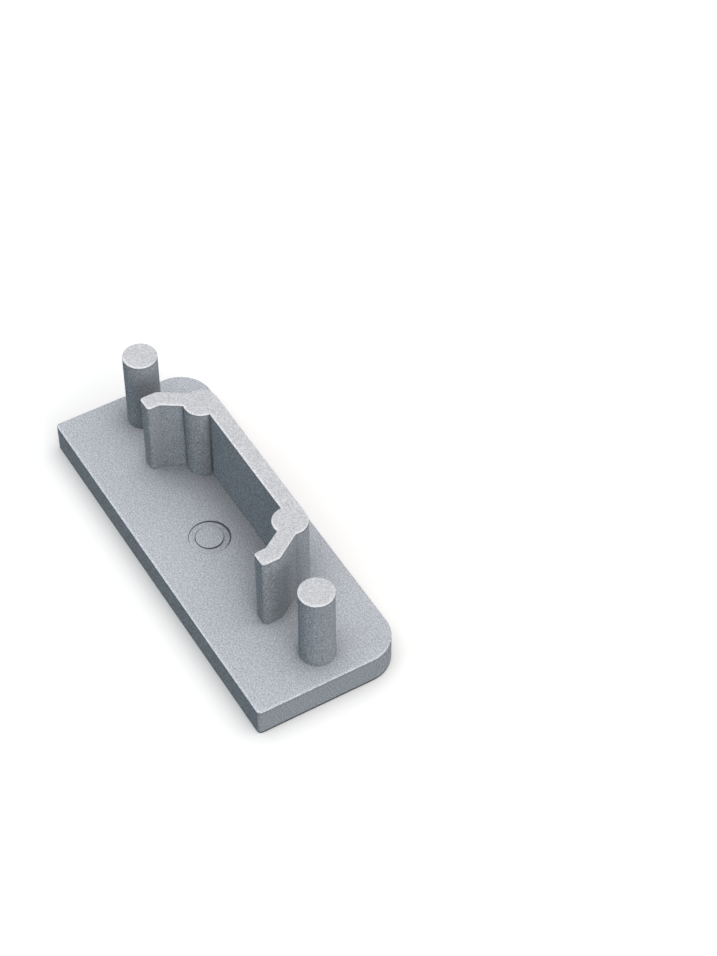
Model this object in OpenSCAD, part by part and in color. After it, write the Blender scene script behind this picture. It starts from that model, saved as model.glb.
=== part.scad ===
// End cap for an extruded profile, moulded in one piece.
// A flat end plate carries a bent tongue, which fits the hollow of the profile,
// and two round pins, which press into its screw channels.
// Millimetres. The origin is the middle of the plate's outer face.
// +X runs along the plate, +Y to its rounded long side, +Z out along the pins.

/* [Plate] */
// Length of the plate, the outer width of the profile
plate_l = 24; // [23:0.5:40]
// Width of the plate, the outer height of the profile
plate_w = 9; // [7.5:0.1:16]
// Thickness of the plate
plate_t = 1.75; // [1:0.05:4]
// Radius of the two round corners, on the +Y side
round_corner_r = 2; // [0.8:0.1:3.5]
// Radius of the two square corners, on the -Y side
square_corner_r = 0.25; // [0.05:0.05:0.6]
// Radius of the round that runs along the outer face's edge
edge_r = 0.3; // [0.1:0.05:0.7]

/* [Tongue] */
// Height of the tongue above the plate
tongue_h = 5; // [2:0.1:12]
// Width of the tongue across the outsides of its tips
tongue_w = 14; // [12:0.1:16]
// Depth of the tongue, from the back of its wall to the ends of its tips
tongue_d = 3.8; // [3.5:0.1:5]
// Thickness of the wall, the arms and the tips
wall_t = 1; // [0.6:0.05:1.3]
// Distance from the plate's rounded long edge to the back of the wall
wall_setback = 2; // [0.8:0.1:2.5]
// Diameter of the round boss at each end of the wall
boss_d = 2; // [1.7:0.05:2.6]
// Distance between the centres of the two bosses
boss_pitch = 10; // [6:0.1:11]
// How far outside the boss's centre the middle of the arm starts
arm_root_out = 0.25; // [0:0.05:0.4]
// Length of the straight tip, measured from the bend along its middle
tip_l = 0.9; // [0.5:0.05:1.3]
// Radius of the corners at the end of a tip
tip_corner_r = 0.2; // [0.05:0.05:0.29]

/* [Pins] */
// Diameter of a pin
pin_d = 2; // [1.5:0.05:2.4]
// Height of a pin above the plate
pin_h = 5; // [2:0.1:12]
// Distance from the plate's short edge to the centre of the pin
pin_inset = 2.05; // [1.5:0.05:2.5]
// Distance from the plate's rounded long edge to the centre of the pin
pin_setback = 4.25; // [3:0.05:6]

/* [Gate mark] */
// Outer diameter of the sunken ring between the tips
mark_d = 2.4; // [1.8:0.1:3]
// Width of the sunken ring
mark_groove_w = 0.42; // [0.2:0.02:0.6]
// Depth of the sunken ring
mark_depth = 0.1; // [0.05:0.01:0.4]
// Distance from the plate's rounded long edge to the centre of the ring
mark_setback = 5.4; // [5:0.05:6]

/* [Hidden] */
$fn = 96;

// Moulded plastic, silver grey
cap_colour = [0.72, 0.74, 0.77];

// How far a shape that cuts or joins runs past the face it meets
past = 0.5;

// Places on the plate
half_l = plate_l / 2;
half_w = plate_w / 2;
round_corner_x = half_l - round_corner_r;
round_corner_y = half_w - round_corner_r;

// Places of the pin and of the ring, seen from above
pin_x = half_l - pin_inset;
pin_y = half_w - pin_setback;
mark_y = half_w - mark_setback;

// Places on the tongue, seen from above
wall_back_y = half_w - wall_setback;
boss_x = boss_pitch / 2;
boss_y = wall_back_y - boss_d / 2;
tip_x = tongue_w / 2 - wall_t / 2;
tip_end_y = wall_back_y - tongue_d;
bend_y = tip_end_y + tip_l;
arm_middle = [[boss_x + arm_root_out, boss_y], [tip_x, bend_y], [tip_x, tip_end_y + tip_corner_r]];

// A vector of length one
function unit(v) = v / norm(v);

// The vector turned a quarter turn to the left
function left_of(v) = [-v[1], v[0]];

// The corner of a strip's side where two of its straight runs meet in a mitre
function mitre(before, corner, after, side) =
    let (n1 = left_of(unit(corner - before)), n2 = left_of(unit(after - corner)))
    corner + side * (n1 + n2) / (1 + n1 * n2);

// One side of a strip whose middle follows three points
function strip_side(middle, side) = [
    middle[0] + side * left_of(unit(middle[1] - middle[0])),
    mitre(middle[0], middle[1], middle[2], side),
    middle[2] + side * left_of(unit(middle[2] - middle[1]))
];

function reversed(points) = [for (i = [len(points) - 1 : -1 : 0]) points[i]];

// A strip of even thickness with a mitred bend
module strip(middle, thickness) {
    polygon(concat(strip_side(middle, thickness / 2), reversed(strip_side(middle, -thickness / 2))));
}

// Both sides of the cap's middle plane
module both_ends() {
    children();
    mirror([1, 0, 0]) children();
}

// Outline of half the plate: one round corner and one square one
module half_plate_outline() {
    square_corner_x = half_l - square_corner_r;
    square_corner_y = -half_w + square_corner_r;
    translate([0, -half_w]) square([square_corner_x, plate_w - round_corner_r]);
    translate([0, square_corner_y]) square([half_l, round_corner_y - square_corner_y]);
    translate([0, round_corner_y]) square([round_corner_x, round_corner_r]);
    translate([round_corner_x, round_corner_y]) circle(r = round_corner_r);
    translate([square_corner_x, square_corner_y]) circle(r = square_corner_r);
}

// Section of what the edge round takes away: the plate's corner is at the section's origin,
// and the plate lies to its right and above it
module edge_waste_section() {
    difference() {
        translate([-past, -past]) square(edge_r + past);
        translate([edge_r, edge_r]) circle(r = edge_r);
    }
}

// The edge round's waste at one end of the plate: along the short side, round the corner
// and on to the middle of the rounded long side. It runs out straight past the square corner.
module edge_waste() {
    straight_l = round_corner_y + half_w + past;
    translate([half_l, round_corner_y, 0])
        rotate([90, 0, 0])
            linear_extrude(straight_l)
                mirror([1, 0]) edge_waste_section();
    translate([round_corner_x, half_w, 0])
        rotate([90, 0, -90])
            linear_extrude(round_corner_x)
                edge_waste_section();
    translate([round_corner_x, round_corner_y, 0])
        rotate_extrude(angle = 90)
            translate([round_corner_r, 0]) mirror([1, 0]) edge_waste_section();
}

// The end plate
module plate() {
    difference() {
        linear_extrude(plate_t) both_ends() half_plate_outline();
        both_ends() edge_waste();
        gate_mark();
    }
}

// The ring that is sunk into the inner face
module gate_mark() {
    core_d = mark_d - 2 * mark_groove_w;
    translate([0, mark_y, plate_t - mark_depth])
        difference() {
            cylinder(d = mark_d, h = mark_depth + past);
            translate([0, 0, -past]) cylinder(d = core_d, h = mark_depth + 3 * past);
        }
}

// Squared end of a tip, with its two corners rounded
module tip_end_outline() {
    corner_x = wall_t / 2 - tip_corner_r;
    translate([tip_x, tip_end_y + tip_corner_r]) {
        translate([-corner_x, -tip_corner_r]) square([2 * corner_x, 2 * tip_corner_r]);
        translate([-corner_x, 0]) circle(r = tip_corner_r);
        translate([corner_x, 0]) circle(r = tip_corner_r);
    }
}

// Outline of half the tongue: half the wall, the boss, and the arm with its tip
module half_tongue_outline() {
    translate([0, wall_back_y - wall_t]) square([boss_x, wall_t]);
    translate([boss_x, boss_y]) circle(d = boss_d);
    strip(arm_middle, wall_t);
    tip_end_outline();
}

// The tongue that fits the hollow of the profile
module tongue() {
    translate([0, 0, plate_t - past])
        linear_extrude(tongue_h + past)
            both_ends() half_tongue_outline();
}

// One of the two pins that press into the profile's screw channels
module pin() {
    translate([pin_x, pin_y, plate_t - past])
        cylinder(d = pin_d, h = pin_h + past);
}

module end_cap() {
    color(cap_colour) {
        plate();
        tongue();
        both_ends() pin();
    }
}

end_cap();
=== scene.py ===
from functools import reduce
from math import radians, sin, sqrt

import bmesh
import bpy
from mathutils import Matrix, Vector
from mathutils.geometry import intersect_line_sphere_2d


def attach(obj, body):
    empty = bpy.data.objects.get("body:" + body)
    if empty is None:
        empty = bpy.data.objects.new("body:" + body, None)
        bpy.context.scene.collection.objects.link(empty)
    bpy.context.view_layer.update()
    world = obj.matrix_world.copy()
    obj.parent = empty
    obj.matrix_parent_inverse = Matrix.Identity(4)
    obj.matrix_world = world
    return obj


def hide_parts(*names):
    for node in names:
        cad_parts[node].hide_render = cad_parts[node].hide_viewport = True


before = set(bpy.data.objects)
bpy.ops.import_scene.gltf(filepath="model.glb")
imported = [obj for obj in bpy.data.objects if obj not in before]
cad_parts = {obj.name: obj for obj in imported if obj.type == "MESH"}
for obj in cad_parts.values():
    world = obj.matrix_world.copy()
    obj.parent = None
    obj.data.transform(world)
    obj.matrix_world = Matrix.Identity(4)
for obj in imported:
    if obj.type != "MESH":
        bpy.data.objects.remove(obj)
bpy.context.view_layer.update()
bpy.ops.object.select_all(action="DESELECT")

# Camera
# A long lens looks down on the cap from its front right corner, at the photograph's viewing angle.
# The frame is 717 x 956, so the sensor's 36 mm lie along the picture's height.
camera_place = Vector((0.08160, -0.03966, 0.10783))
camera_aim = Vector((-0.00090, 0.00922, 0.0))
camera_data = bpy.data.cameras.new("camera")
camera_data.sensor_width = 36.0
camera_data.lens = 94.5
camera_data.clip_start = 0.01
camera = bpy.data.objects.new("camera", camera_data)
camera.location = camera_place
camera.rotation_euler = (camera_aim - camera_place).to_track_quat("-Z", "Y").to_euler()
bpy.context.scene.collection.objects.link(camera)
bpy.context.scene.camera = camera

# Plate
# The flat end plate that closes the profile, moulded in one with the rest of the cap. Its corners are
# round on the +Y side and nearly square on the -Y side. The outer face, which lies on the floor, is rounded
# off along three sides. The whole cap is modelled in millimetres and brought to metres in the end.
plate_l, plate_w, plate_t = 24.0, 9.0, 1.75
half_l, half_w = plate_l / 2, plate_w / 2
round_corner_r = 2.0
square_corner_r = 0.25
edge_r = 0.13
edge_steps = 8
soft_edge = 0.04
near = 0.001


def select_vertices(piece, wanted):
    """Selects, in edit mode, the vertices whose place satisfies wanted."""
    bpy.ops.mesh.select_mode(type="VERT")
    bpy.ops.mesh.select_all(action="DESELECT")
    mesh = bmesh.from_edit_mesh(piece.data)
    for vertex in mesh.verts:
        vertex.select_set(wanted(vertex.co))
    mesh.select_flush(True)
    bmesh.update_edit_mesh(piece.data)


def round_draws_in(r, z):
    """How far a round of radius r along the outer face's edge has drawn in at height z."""
    below_round = min(max(r - z, 0), r)
    return r - sqrt(r * r - below_round * below_round)


bpy.ops.mesh.primitive_plane_add(size=1, location=(0, 0, plate_t))
cap = bpy.context.object
cap.name = "cap"
cap.scale = (plate_l, plate_w, 1)
bpy.ops.object.transform_apply(location=True, rotation=True, scale=True)
bpy.ops.object.mode_set(mode="EDIT")
select_vertices(cap, lambda v: v.y > 0)
bpy.ops.mesh.bevel(offset=round_corner_r, segments=24, affect="VERTICES", clamp_overlap=False)
select_vertices(cap, lambda v: v.y < near - half_w)
bpy.ops.mesh.bevel(offset=square_corner_r, segments=8, affect="VERTICES", clamp_overlap=False)
bpy.ops.mesh.select_all(action="SELECT")
reached_z = plate_t
for step in range(edge_steps + 1):
    lower_z = edge_r * (1 - sin(radians(90) * step / edge_steps))
    bpy.ops.mesh.extrude_region_move(TRANSFORM_OT_translate={"value": (0, 0, lower_z - reached_z)})
    reached_z = lower_z
bpy.ops.mesh.select_all(action="SELECT")
bpy.ops.mesh.normals_make_consistent(inside=False)
bpy.ops.object.mode_set(mode="OBJECT")
for vertex in cap.data.vertices:
    x, y, z = vertex.co
    drawn_in = round_draws_in(edge_r, z)
    side = 1 if x > 0 else -1
    corner = Vector((side * (half_l - round_corner_r), half_w - round_corner_r))
    if y > corner.y:
        x, y = corner + (Vector((x, y)) - corner) * (1 - drawn_in / round_corner_r)
    else:
        x = side * min(abs(x), half_l - drawn_in)
        y = max(y, round_draws_in(soft_edge, z) - half_w)
    vertex.co = (x, y, z)

# Tongue
# The bent wall that slides into the hollow of the profile. A straight run stands parallel to the long
# sides, with a round boss at each end, from which an arm slants forward and ends in a straight tip.
# Its outline is drawn from the middle to one end and back, mirrored, and raised from inside the plate.
tongue_h = 5.0
tongue_w = 14.0
tongue_d = 3.8
wall_t = 1.0
wall_setback = 2.0
boss_r = 1.0
boss_pitch = 10.0
arm_root_out = 0.25
tip_l = 0.9
tip_corner_r = 0.2
bend_softness = 0.08
sunk = 0.5
round_sides = 96

tongue_top = plate_t + tongue_h
sunk_z = plate_t - sunk
wall_back_y = half_w - wall_setback
wall_front_y = wall_back_y - wall_t
boss = Vector((boss_pitch / 2, wall_back_y - boss_r))
arm_root = boss + Vector((arm_root_out, 0))
tip_end = Vector((tongue_w / 2 - wall_t / 2, wall_back_y - tongue_d))
bend = tip_end + Vector((0, tip_l))
arc_step = radians(360 / round_sides)


def draw_to(point):
    """Draws the outline on from its last point in a straight line."""
    global pen
    step = point - pen
    bpy.ops.mesh.extrude_region_move(TRANSFORM_OT_translate={"value": (step.x, step.y, 0)})
    pen = point


def draw_round_boss(point):
    """Draws the outline on, anticlockwise round the boss, to a point of its rim."""
    global pen
    turn = -(pen - boss).angle_signed(point - boss) % radians(360)
    bpy.ops.mesh.spin(steps=round(turn / arc_step), angle=-turn, center=(*boss, sunk_z), axis=(0, 0, 1))
    pen = point


def arm_side(side):
    """Where one side of the arm meets the boss, and where it meets the side of the tip in a mitre."""
    across_arm = (bend - arm_root).orthogonal().normalized()
    across_tip = (tip_end - bend).orthogonal().normalized()
    mitre = bend + side * wall_t / 2 * (across_arm + across_tip) / (1 + across_arm.dot(across_tip))
    meets = intersect_line_sphere_2d(mitre, mitre + arm_root - bend, boss, boss_r, False)
    return min(meets, key=lambda point: (point - mitre).length), mitre


bpy.ops.object.select_all(action="DESELECT")
bpy.ops.mesh.primitive_plane_add(size=1, location=(0, wall_front_y, sunk_z))
tongue = bpy.context.object
bpy.ops.object.transform_apply(location=True, rotation=True, scale=True)
bpy.ops.object.mode_set(mode="EDIT")
bpy.ops.mesh.select_mode(type="VERT")
bpy.ops.mesh.select_all(action="SELECT")
bpy.ops.mesh.merge(type="CENTER")
pen = Vector((0, wall_front_y))
inner_root, inner_bend = arm_side(-1)
outer_root, outer_bend = arm_side(1)
draw_to(boss - Vector((boss_r, 0)))
draw_round_boss(inner_root)
draw_to(inner_bend)
draw_to(tip_end - Vector((wall_t / 2, 0)))
draw_to(tip_end + Vector((wall_t / 2, 0)))
draw_to(outer_bend)
draw_to(outer_root)
draw_round_boss(boss + Vector((0, boss_r)))
draw_to(Vector((0, wall_back_y)))
select_vertices(tongue, lambda v: v.y < tip_end.y + near)
bpy.ops.mesh.bevel(offset=tip_corner_r, segments=6, affect="VERTICES", clamp_overlap=False)
select_vertices(tongue, lambda v: min((v.xy - inner_bend).length, (v.xy - outer_bend).length) < near)
bpy.ops.mesh.bevel(offset=bend_softness, segments=4, affect="VERTICES", clamp_overlap=False)
bpy.ops.object.mode_set(mode="OBJECT")
other_end = tongue.modifiers.new("other_end", "MIRROR")
other_end.merge_threshold = near
bpy.ops.object.modifier_apply(modifier=other_end.name)
bpy.ops.object.mode_set(mode="EDIT")
bpy.ops.mesh.select_all(action="SELECT")
bpy.ops.mesh.edge_face_add()
bpy.ops.mesh.extrude_region_move(TRANSFORM_OT_translate={"value": (0, 0, tongue_top - sunk_z)})
bpy.ops.mesh.select_all(action="SELECT")
bpy.ops.mesh.normals_make_consistent(inside=False)
bpy.ops.object.mode_set(mode="OBJECT")


def join_to_cap(piece, operation="UNION"):
    """Joins a closed piece to the cap, or cuts it out of the cap, and removes it."""
    bpy.ops.object.select_all(action="DESELECT")
    bpy.context.view_layer.objects.active = cap
    joint = cap.modifiers.new("joint", "BOOLEAN")
    joint.operation = operation
    joint.solver = "EXACT"
    joint.object = piece
    bpy.ops.object.modifier_apply(modifier=joint.name)
    bpy.data.objects.remove(piece)


join_to_cap(tongue)

# Pins
# Two round pins that press into the profile's screw channels, one near each end of the plate. They are
# moulded in one with the plate, so each is drawn from inside it.
pin_r = 1.0
pin_h = 5.0
pin_inset = 2.05
pin_setback = 4.25

pin_x = half_l - pin_inset
pin_y = half_w - pin_setback
pin_top = plate_t + pin_h
pin_l = pin_top - sunk_z
for side in (-1, 1):
    pin_middle = (side * pin_x, pin_y, (pin_top + sunk_z) / 2)
    bpy.ops.mesh.primitive_cylinder_add(vertices=round_sides, radius=pin_r, depth=pin_l, location=pin_middle)
    bpy.ops.object.transform_apply(location=True, rotation=True, scale=True)
    join_to_cap(bpy.context.object)

# Gate mark
# A shallow ring, sunk into the inner face where the plastic was let into the mould. Its walls slope, and
# the punch that left it leaned, so it is deepest at its +Y side. Its section is drawn beside the middle
# of the ring and spun round it.
mark_setback = 5.4
mark_r = 1.2
mark_inner_r = 0.78
mark_depth = 0.075
mark_slope = 0.45
mark_lean = Vector((0.19, 0.57))
mark_tilt = Vector((0.011, 0.033))
mark_soft_edge = 0.015
mark = Vector((0, half_w - mark_setback))


def mark_wall(r, outwards, z):
    """How far a wall of the ring, of radius r at the face, is from the ring's middle at height z."""
    return r + outwards * mark_slope * (z - plate_t)


bpy.ops.object.select_all(action="DESELECT")
bpy.ops.mesh.primitive_plane_add(size=1, location=(mark.x + mark_r, mark.y, plate_t))
ring = bpy.context.object
bpy.ops.object.transform_apply(location=True, rotation=True, scale=True)
for vertex in ring.data.vertices:
    z = plate_t + mark_depth if vertex.co.y > mark.y else plate_t - mark_depth
    on_outer_wall = vertex.co.x > mark.x + mark_r
    r = mark_wall(mark_r, 1, z) if on_outer_wall else mark_wall(mark_inner_r, -1, z)
    vertex.co = (mark.x + r, mark.y, z)
bpy.ops.object.mode_set(mode="EDIT")
bpy.ops.mesh.select_all(action="SELECT")
bpy.ops.mesh.delete(type="ONLY_FACE")
bpy.ops.mesh.select_all(action="SELECT")
bpy.ops.mesh.spin(steps=round_sides, angle=radians(360), center=(*mark, plate_t), axis=(0, 0, 1))
bpy.ops.mesh.select_all(action="SELECT")
bpy.ops.mesh.remove_doubles(threshold=near / 2)
bpy.ops.mesh.normals_make_consistent(inside=False)
bpy.ops.object.mode_set(mode="OBJECT")
for vertex in ring.data.vertices:
    if vertex.co.z < plate_t:
        vertex.co.z -= mark_tilt.dot(vertex.co.xy - mark)
    vertex.co.xy += mark_lean * (vertex.co.z - plate_t)
join_to_cap(ring, "DIFFERENCE")

# Edges and metres
# The mould leaves the upper outer edges a little soft and those of the gate mark nearly crisp. The inner
# corners and the feet are left crisp. The finished cap is then brought from millimetres to metres.
flat_angle = radians(0.5)
edge_angle = radians(40)
mark_edge_angle = radians(25)
mark_reach = mark_r + mark_depth
mm = 0.001


def far_end_from_mark(edge):
    """How far the farther end of an edge is from the middle of the gate mark, seen from above."""
    return max((vertex.co.xy - mark).length for vertex in edge.verts)


bpy.ops.object.select_all(action="DESELECT")
bpy.context.view_layer.objects.active = cap
cap.select_set(True)
bpy.ops.object.mode_set(mode="EDIT")
bpy.ops.mesh.select_all(action="SELECT")
bpy.ops.mesh.remove_doubles(threshold=near / 2)
bpy.ops.mesh.dissolve_limited(angle_limit=flat_angle, use_dissolve_boundaries=False)
bpy.ops.mesh.select_mode(type="EDGE")
bpy.ops.mesh.select_all(action="DESELECT")
bpy.ops.mesh.edges_select_sharp(sharpness=edge_angle)
mesh = bmesh.from_edit_mesh(cap.data)
for edge in mesh.edges:
    at_foot = min(vertex.co.z for vertex in edge.verts) < edge_r + near
    at_mark = far_end_from_mark(edge) < mark_reach
    if edge.select and not edge.is_convex:
        edge.smooth = False
    if at_foot or at_mark or not edge.smooth:
        edge.select_set(False)
bmesh.update_edit_mesh(cap.data)
bpy.ops.mesh.bevel(offset=soft_edge, segments=3, clamp_overlap=False)
bpy.ops.mesh.select_all(action="DESELECT")
bpy.ops.mesh.edges_select_sharp(sharpness=mark_edge_angle)
mesh = bmesh.from_edit_mesh(cap.data)
for edge in mesh.edges:
    if far_end_from_mark(edge) > mark_reach:
        edge.select_set(False)
bmesh.update_edit_mesh(cap.data)
bpy.ops.mesh.bevel(offset=mark_soft_edge, segments=2, clamp_overlap=False)
bpy.ops.object.mode_set(mode="OBJECT")
bpy.ops.object.shade_smooth()
flatness = cap.modifiers.new("flatness", "WEIGHTED_NORMAL")
flatness.weight = 100
flatness.keep_sharp = True
bpy.ops.object.modifier_apply(modifier=flatness.name)
cap.scale = (mm, mm, mm)
bpy.ops.object.transform_apply(location=True, rotation=True, scale=True)

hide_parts("end_cap")
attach(cap, "root")

# Plastic
# Silver-grey plastic, finely speckled, with the even matte grain of the mould's spark-eroded steel. Its
# colour holds painted highlights on the ends of the pins and of the tongue and along the front edges, and
# painted shade in the corners and nooks, in the gate mark, along the back edges, under the upper edges and
# at the foot.
plastic = bpy.data.materials.new("silver_grey_plastic")
plastic.use_nodes = True
nodes = plastic.node_tree.nodes
links = plastic.node_tree.links
shader = nodes["Principled BSDF"]
shader.inputs["Specular IOR Level"].default_value = 0.05
place = nodes.new("ShaderNodeTexCoord")


def noise(name, size, detail):
    """Noise on the cap's own coordinates, with patches of the given size in metres."""
    texture = nodes.new("ShaderNodeTexNoise")
    texture.name = name
    texture.inputs["Scale"].default_value = 1 / size
    texture.inputs["Detail"].default_value = detail
    links.new(place.outputs["Object"], texture.inputs["Vector"])
    return texture.outputs["Fac"]


def mapped(value, low, high, to_low, to_high, clamp=True):
    """The value's range from low to high carried over to another range."""
    tree = value.id_data
    node = tree.nodes.new("ShaderNodeMapRange")
    node.clamp = clamp
    tree.links.new(value, node.inputs["Value"])
    node.inputs["From Min"].default_value = low
    node.inputs["From Max"].default_value = high
    node.inputs["To Min"].default_value = to_low
    node.inputs["To Max"].default_value = to_high
    return node.outputs["Result"]


def combined(operation, a, b):
    """Two values multiplied or subtracted, or the larger of them."""
    tree = a.id_data
    node = tree.nodes.new("ShaderNodeMath")
    node.operation = operation
    tree.links.new(a, node.inputs[0])
    tree.links.new(b, node.inputs[1])
    return node.outputs["Value"]


def product(*values):
    """All the values multiplied together."""
    return reduce(lambda a, b: combined("MULTIPLY", a, b), values)


def shaded(lightness, mask, gain):
    """The lightness, multiplied by gain where the mask is 1."""
    return product(lightness, mapped(mask, 0, 1, 1, gain))


def axes_of(vector):
    """The X, Y and Z of a vector."""
    node = nodes.new("ShaderNodeSeparateXYZ")
    links.new(vector, node.inputs["Vector"])
    return node.outputs


def openness(tree, reach):
    """How open the space over the surface is within reach, from 0 in a narrow gap to 1."""
    node = tree.nodes.new("ShaderNodeAmbientOcclusion")
    node.samples = 16
    node.inputs["Distance"].default_value = reach
    return node.outputs["AO"]


# Where the surface is and which way it faces. Each pair of values holds the limits between which a mask
# changes from 0 to 1 or back.
level = (0.9, 0.98)
upright = (0.3, 0.6)
leaning = (0.4, 0.6)
downward = (-0.4, 0)
straight_front = (-1, -0.9)
end_skin = ((tongue_top - 0.1) * mm, (tongue_top - 0.05) * mm)
plate_top_skin = ((plate_t - 0.1) * mm, plate_t * mm)
mark_border = ((mark_r + 0.2) * mm, (mark_r + 0.3) * mm)

spot = axes_of(place.outputs["Object"])
facing = axes_of(place.outputs["Normal"])
from_mark = nodes.new("ShaderNodeVectorMath")
from_mark.operation = "DISTANCE"
from_mark.inputs[1].default_value = (mark.x * mm, mark.y * mm, plate_t * mm)
links.new(place.outputs["Object"], from_mark.inputs[0])

at_ends = mapped(spot["Z"], *end_skin, 0, 1)
off_ends = mapped(at_ends, 0, 1, 1, 0)
on_plate = mapped(spot["Z"], *plate_top_skin, 1, 0)
in_mark = mapped(from_mark.outputs["Value"], *mark_border, 1, 0)
off_mark = mapped(from_mark.outputs["Value"], *mark_border, 0, 1)
on_top = mapped(facing["Z"], *level, 0, 1)
off_top = mapped(facing["Z"], *level, 1, 0)
on_side = mapped(facing["Z"], *upright, 1, 0)
off_side = mapped(facing["Z"], *leaning, 0, 1)
underneath = mapped(facing["Z"], *downward, 1, 0)
plate_front = product(on_plate, mapped(facing["Y"], *straight_front, 1, 0))

# Speckle, stronger on the sides and most of all towards the front, and a faint mottle. Both end as gains
# that lie about 1.
speckle_size = 0.08 * mm
speckle_contrast = 0.70
end_speckle = 0.7
side_speckle = 1.15
front_speckle = 1.3
front_half = (-1, -0.3)
mottle_size = 0.9 * mm
mottle_contrast = 0.015

side_gain = mapped(product(facing["Z"], facing["Z"]), 0, 1, side_speckle, 1)
front_gain = mapped(facing["Y"], *front_half, front_speckle, 1)
end_gain = mapped(at_ends, 0, 1, 1, end_speckle)
speckle = noise("speckle", speckle_size, detail=1)
speckle = mapped(speckle, 0, 1, -speckle_contrast, speckle_contrast, clamp=False)
speckle = mapped(product(speckle, side_gain, front_gain, end_gain), 0, 1, 1, 2, clamp=False)
mottle = noise("mottle", mottle_size, detail=2)
mottle = mapped(mottle, 0, 1, 1 - mottle_contrast, 1 + mottle_contrast, clamp=False)

# Painted shade: inner corners are darkened in a narrow line, which is weak at the foot of the tongue and of
# the pins. Nooks on the level faces get painted shade over a broad stretch.
corner_reach = 0.2 * mm
corner_openness = (0.5, 1)
wall_foot = ((plate_t + 0.1) * mm, (plate_t + 0.4) * mm)
wall_foot_share = 0.3
cap_foot = (0.15 * mm, 0.3 * mm)
nook_reach = 2.5 * mm
nook_openness = (0.45, 0.95)

corner_open = openness(plastic.node_tree, corner_reach)
corner_share = mapped(spot["Z"], *wall_foot, wall_foot_share, 1)
corner_share = combined("MAXIMUM", corner_share, mapped(spot["Z"], *cap_foot, 1, 0))
in_corner = product(on_side, corner_share, mapped(corner_open, *corner_openness, 1, 0))
in_nook = product(on_top, mapped(openness(plastic.node_tree, nook_reach), *nook_openness, 1, 0))

# Softened edges, where highlights and shade are painted. A rounded normal tells how near an edge is and
# which way it faces.
rim_width = 0.3 * mm
rim_openness = (0.85, 0.95)
rim_lean = (0.1, 0.3)
under_rim_lean = (0.01, 0.08)
edge_lean = (-0.3, 0.3)
mark_wall_lean = (0.85, 0.97)

softened = nodes.new("ShaderNodeBevel")
softened.samples = 8
softened.inputs["Radius"].default_value = rim_width
softened_facing = axes_of(softened.outputs["Normal"])
turned_up = combined("SUBTRACT", softened_facing["Z"], facing["Z"])
to_front_right = combined("SUBTRACT", softened_facing["X"], softened_facing["Y"])
in_open = product(off_mark, mapped(corner_open, *rim_openness, 0, 1))
# A painted highlight on the level faces along the front edges.
rim_highlight = product(in_open, on_top, mapped(to_front_right, *rim_lean, 0, 1))
# Painted shade on the sides just under the upper edges.
under_rim = product(in_open, on_side, mapped(turned_up, *under_rim_lean, 0, 1))
on_edge = product(off_mark, off_side, off_top)
# Painted highlights along the edges of the ends and along the front edges, and painted shade along the back
# edges.
end_edge_highlight = product(on_edge, at_ends)
front_edge_highlight = product(on_edge, off_ends, mapped(to_front_right, *edge_lean, 0, 1))
back_edge = product(on_edge, off_ends, mapped(to_front_right, *edge_lean, 1, 0))
# Painted shade on the walls of the gate mark.
mark_walls = product(in_mark, mapped(facing["Z"], *mark_wall_lean, 1, 0))

# Colour
plastic_colour = (0.5025, 0.526, 0.570)
# The lighter colour of the ends of the pins and of the tongue is a painted highlight.
end_highlight_colour = (0.588, 0.588, 0.612)
# Gains of the painted highlights, above 1, and of the painted shade, below 1.
rim_highlight_gain = 1.3
front_edge_highlight_gain = 1.3
end_edge_highlight_gain = 1.5
back_edge_shade = 0.85
under_rim_shade = 0.84
mark_shade = 0.25
corner_shade = 0.35
nook_shade = 0.72
under_shade = 0.45
plate_front_shade = 0.9

lightness = product(speckle, mottle)
lightness = shaded(lightness, rim_highlight, rim_highlight_gain)
lightness = shaded(lightness, front_edge_highlight, front_edge_highlight_gain)
lightness = shaded(lightness, end_edge_highlight, end_edge_highlight_gain)
lightness = shaded(lightness, back_edge, back_edge_shade)
lightness = shaded(lightness, under_rim, under_rim_shade)
lightness = shaded(lightness, mark_walls, mark_shade)
lightness = shaded(lightness, in_corner, corner_shade)
lightness = shaded(lightness, in_nook, nook_shade)
# Painted shade on faces turned down and on the plate's front side.
lightness = shaded(lightness, underneath, under_shade)
lightness = shaded(lightness, plate_front, plate_front_shade)
end_highlight = nodes.new("ShaderNodeMix")
end_highlight.data_type = "RGBA"
end_highlight.inputs["A"].default_value = (*plastic_colour, 1)
end_highlight.inputs["B"].default_value = (*end_highlight_colour, 1)
links.new(at_ends, end_highlight.inputs["Factor"])
colour = nodes.new("ShaderNodeVectorMath")
colour.operation = "SCALE"
links.new(end_highlight.outputs["Result"], colour.inputs[0])
links.new(lightness, colour.inputs["Scale"])
links.new(colour.outputs["Vector"], shader.inputs["Base Color"])

# Grain
grain_size = 0.09 * mm
grain_depth = 0.02 * mm
grain_range = (0.2, 0.8)
roughness_range = (0.68, 0.84)

grain = noise("grain", grain_size, detail=1)
links.new(mapped(grain, *grain_range, *roughness_range), shader.inputs["Roughness"])
relief = nodes.new("ShaderNodeBump")
relief.inputs["Strength"].default_value = 1
relief.inputs["Distance"].default_value = grain_depth
links.new(grain, relief.inputs["Height"])
links.new(relief.outputs["Normal"], shader.inputs["Normal"])

cap.data.materials.clear()
cap.data.materials.append(plastic)

# Floor
# A plain white sheet under the cap, one large triangle with no seam near it. It is seen a touch lighter
# than the lamps alone make it, and a painted shadow darkens it in the narrow gap under the cap's rounded
# lower edge.
floor_middle = (0, 0, -0.01 * mm)
floor_reach = 40
floor_lift = 0.04
gap_reach = 0.6 * mm
gap_openness = (0.38, 0.53)
gap_shade = 0.08

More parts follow.
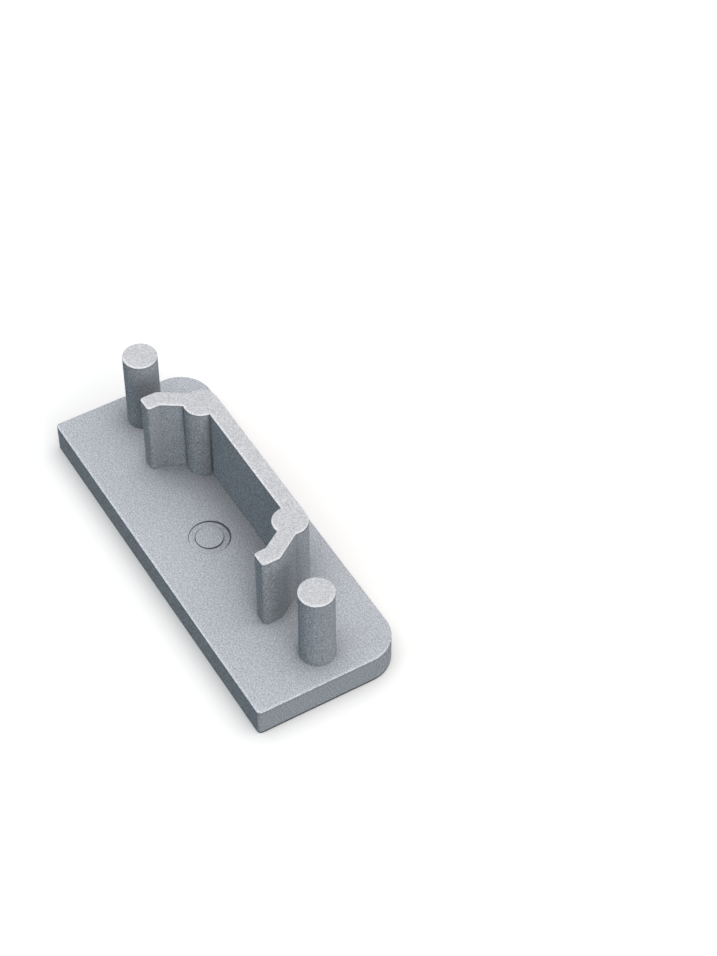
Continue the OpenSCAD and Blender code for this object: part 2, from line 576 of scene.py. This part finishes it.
bpy.ops.mesh.primitive_circle_add(vertices=3, radius=floor_reach, fill_type="NGON", location=floor_middle)
floor = bpy.context.object
floor.name = "floor"
white = bpy.data.materials.new("white_floor")
white.use_nodes = True
white_shader = white.node_tree.nodes["Principled BSDF"]
white_shader.inputs["Roughness"].default_value = 1
white_shader.inputs["Specular IOR Level"].default_value = 0
white_shader.inputs["Emission Color"].default_value = (1, 1, 1, 1)
painted_gap_shadow = mapped(openness(white.node_tree, gap_reach), *gap_openness, gap_shade, 1)
floor_view = white.node_tree.nodes.new("ShaderNodeLightPath")
floor_glow = mapped(floor_view.outputs["Is Camera Ray"], 0, 1, 0, floor_lift)
white.node_tree.links.new(painted_gap_shadow, white_shader.inputs["Base Color"])
white.node_tree.links.new(product(floor_glow, painted_gap_shadow), white_shader.inputs["Emission Strength"])
floor.data.materials.append(white)

# Light
# A large soft box overhead, a small one on the right and a weak one in front, in a dim cool room.
# They are suns with wide discs, so the floor is lit evenly as far as it reaches.
# Light doesn't bounce between surfaces, which keeps the white floor from lighting the cap's sides.
warm = (1.0, 0.932, 0.892)
neutral = (0.95, 1.0, 1.01)
cool = (0.770, 1.0, 1.134)
room_strength = 0.205
soft_boxes = {
    "overhead": {"azimuth": 60, "elevation": 80, "width": 90, "colour": warm, "strength": 2.44},
    "right": {"azimuth": 0, "elevation": 22, "width": 37, "colour": neutral, "strength": 0.80},
    "front": {"azimuth": 270, "elevation": 35, "width": 37, "colour": cool, "strength": 0.24},
}
for name, box in soft_boxes.items():
    lamp_data = bpy.data.lights.new(name, "SUN")
    lamp_data.color = box["colour"]
    lamp_data.energy = box["strength"]
    lamp_data.angle = radians(box["width"])
    lamp = bpy.data.objects.new(name, lamp_data)
    lamp.rotation_euler = (radians(90 - box["elevation"]), 0, radians(90 + box["azimuth"]))
    bpy.context.scene.collection.objects.link(lamp)

world = bpy.data.worlds.new("studio")
bpy.context.scene.world = world
world.use_nodes = True
world_nodes = world.node_tree.nodes
world_links = world.node_tree.links
room = world_nodes["Background"]
room.inputs["Color"].default_value = (*cool, 1)
room.inputs["Strength"].default_value = room_strength
backdrop = world_nodes.new("ShaderNodeBackground")
backdrop.inputs["Color"].default_value = (1, 1, 1, 1)
rays = world_nodes.new("ShaderNodeLightPath").outputs
view_rays = combined("MAXIMUM", rays["Is Camera Ray"], rays["Is Glossy Ray"])
view_rays = combined("MAXIMUM", view_rays, rays["Is Transmission Ray"])
seen = world_nodes.new("ShaderNodeMixShader")
world_links.new(view_rays, seen.inputs["Fac"])
world_links.new(room.outputs["Background"], seen.inputs[1])
world_links.new(backdrop.outputs["Background"], seen.inputs[2])
world_links.new(seen.outputs["Shader"], world_nodes["World Output"].inputs["Surface"])
bpy.context.scene.cycles.diffuse_bounces = 0
bpy.context.scene.view_settings.view_transform = "Standard"
